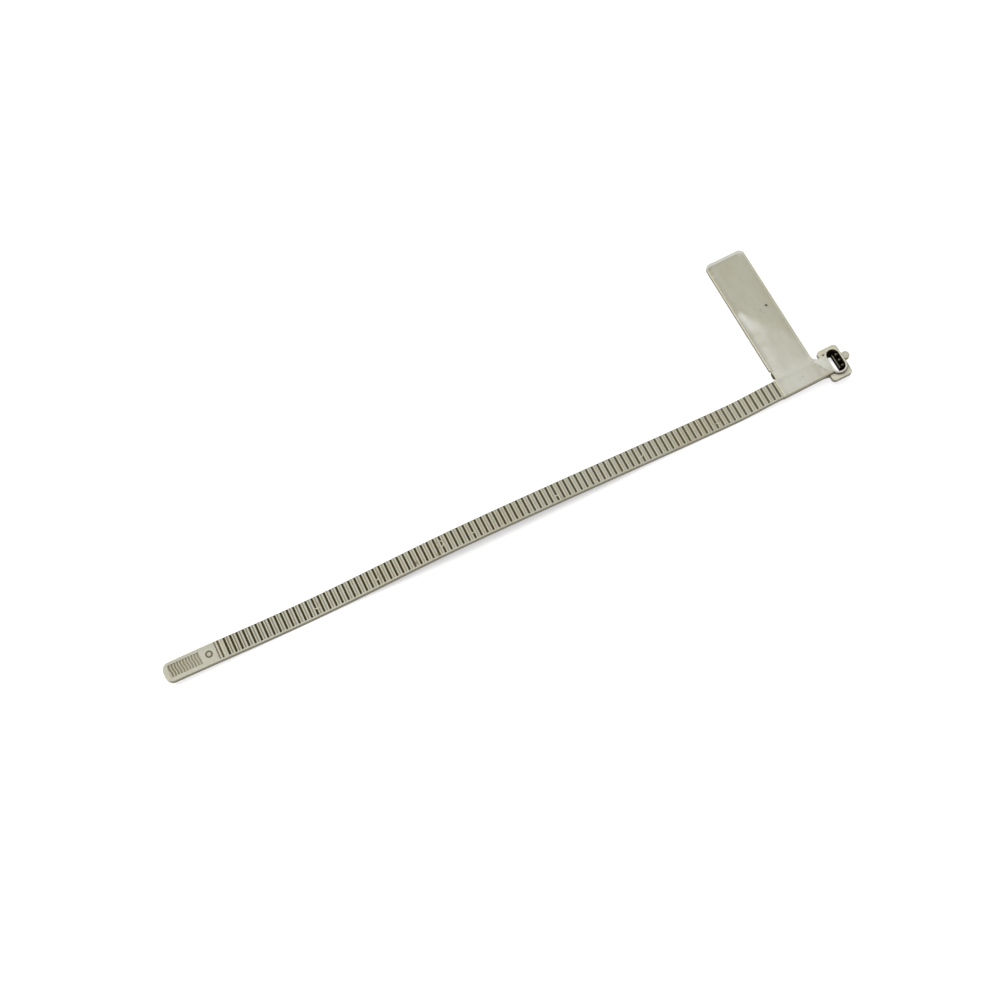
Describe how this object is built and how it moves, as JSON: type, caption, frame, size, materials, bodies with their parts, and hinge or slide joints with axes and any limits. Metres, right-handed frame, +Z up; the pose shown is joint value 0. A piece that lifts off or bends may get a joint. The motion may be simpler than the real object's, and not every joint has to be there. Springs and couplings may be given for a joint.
{
  "type": "cable marker",
  "caption": "Flag-type cable marker tie: a long toothed strap with a ridged tail, a flat writing flag standing out sideways, and a low tube-shaped locking head on a flange.",
  "frame": {"origin": "centre of the bounding box in X and Y, on the table that the marker lies on", "axes": "+X along the strap from the tail to the head, +Y out along the flag, +Z up from the table on the toothed side"},
  "size_m": [0.1827, 0.0428, 0.0047],
  "materials": {
    "cable_marker": "satin moulded, putty grey"
  },
  "bodies": {
    "root": {"cable_marker": "cable_marker"}
  },
  "joints": []
}
